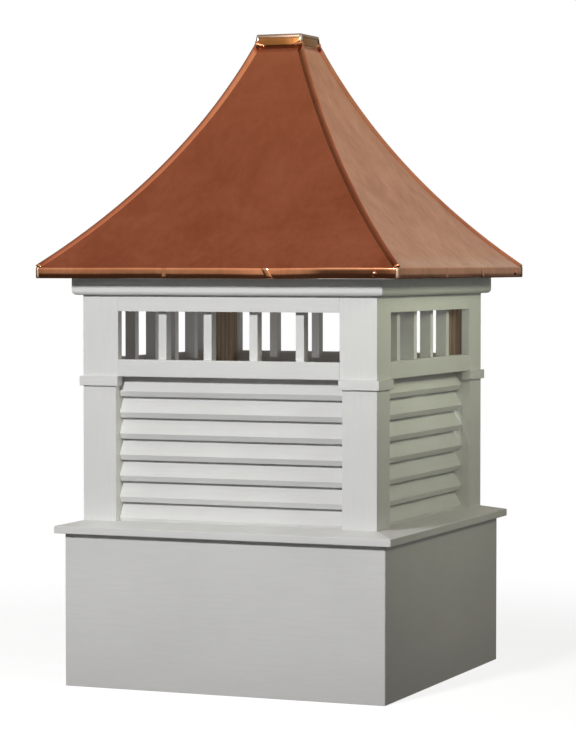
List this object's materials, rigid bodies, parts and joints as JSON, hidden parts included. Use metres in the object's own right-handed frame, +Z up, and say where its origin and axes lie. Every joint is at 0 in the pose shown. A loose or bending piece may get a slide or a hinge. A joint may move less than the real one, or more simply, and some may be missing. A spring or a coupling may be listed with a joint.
{
  "type": "roof cupola",
  "caption": "Square white roof cupola: plain base box, ledge, louvred vents under rows of small open windows, and a swept copper roof with a square cap.",
  "frame": {"origin": "centre of the base box's underside", "axes": "+Z up along the cupola's axis; the front face looks along -Y and the right face along +X"},
  "size_m": [0.854, 0.854, 1.465],
  "materials": {
    "white_pvc": "satin",
    "bare_wood": "matte",
    "copper": "brushed"
  },
  "bodies": {
    "root": {"base_wall_front": "white_pvc", "base_wall_right": "white_pvc", "base_wall_back": "white_pvc", "base_wall_left": "white_pvc", "ledge_front": "white_pvc", "ledge_right": "white_pvc", "ledge_back": "white_pvc", "ledge_left": "white_pvc", "louvre_post_front_left": "white_pvc", "louvre_post_front_right": "white_pvc", "louvre_post_back_right": "white_pvc", "louvre_post_back_left": "white_pvc", "post_bands": "white_pvc", "louvre_jambs": "white_pvc", "louvre_blades_front": "white_pvc", "louvre_blades_right": "white_pvc", "louvre_blades_back": "white_pvc", "louvre_blades_left": "white_pvc", "window_post_front_left": "white_pvc", "window_post_front_right": "white_pvc", "window_post_back_right": "white_pvc", "window_post_back_left": "white_pvc", "window_rails_front": "white_pvc", "window_rails_right": "white_pvc", "window_rails_back": "white_pvc", "window_rails_left": "white_pvc", "window_bars": "white_pvc", "cornice_front": "white_pvc", "cornice_right": "white_pvc", "cornice_back": "white_pvc", "cornice_left": "white_pvc", "eave_boards_front_back": "white_pvc", "eave_boards_left_right": "white_pvc", "base_corner_blocks": "bare_wood", "corner_studs": "bare_wood", "roof_deck_front": "bare_wood", "roof_deck_right": "bare_wood", "roof_deck_back": "bare_wood", "roof_deck_left": "bare_wood", "copper_panel_front": "copper", "copper_panel_right": "copper", "copper_panel_back": "copper", "copper_panel_left": "copper", "hip_seams": "copper", "roof_cap": "copper"}
  },
  "joints": []
}
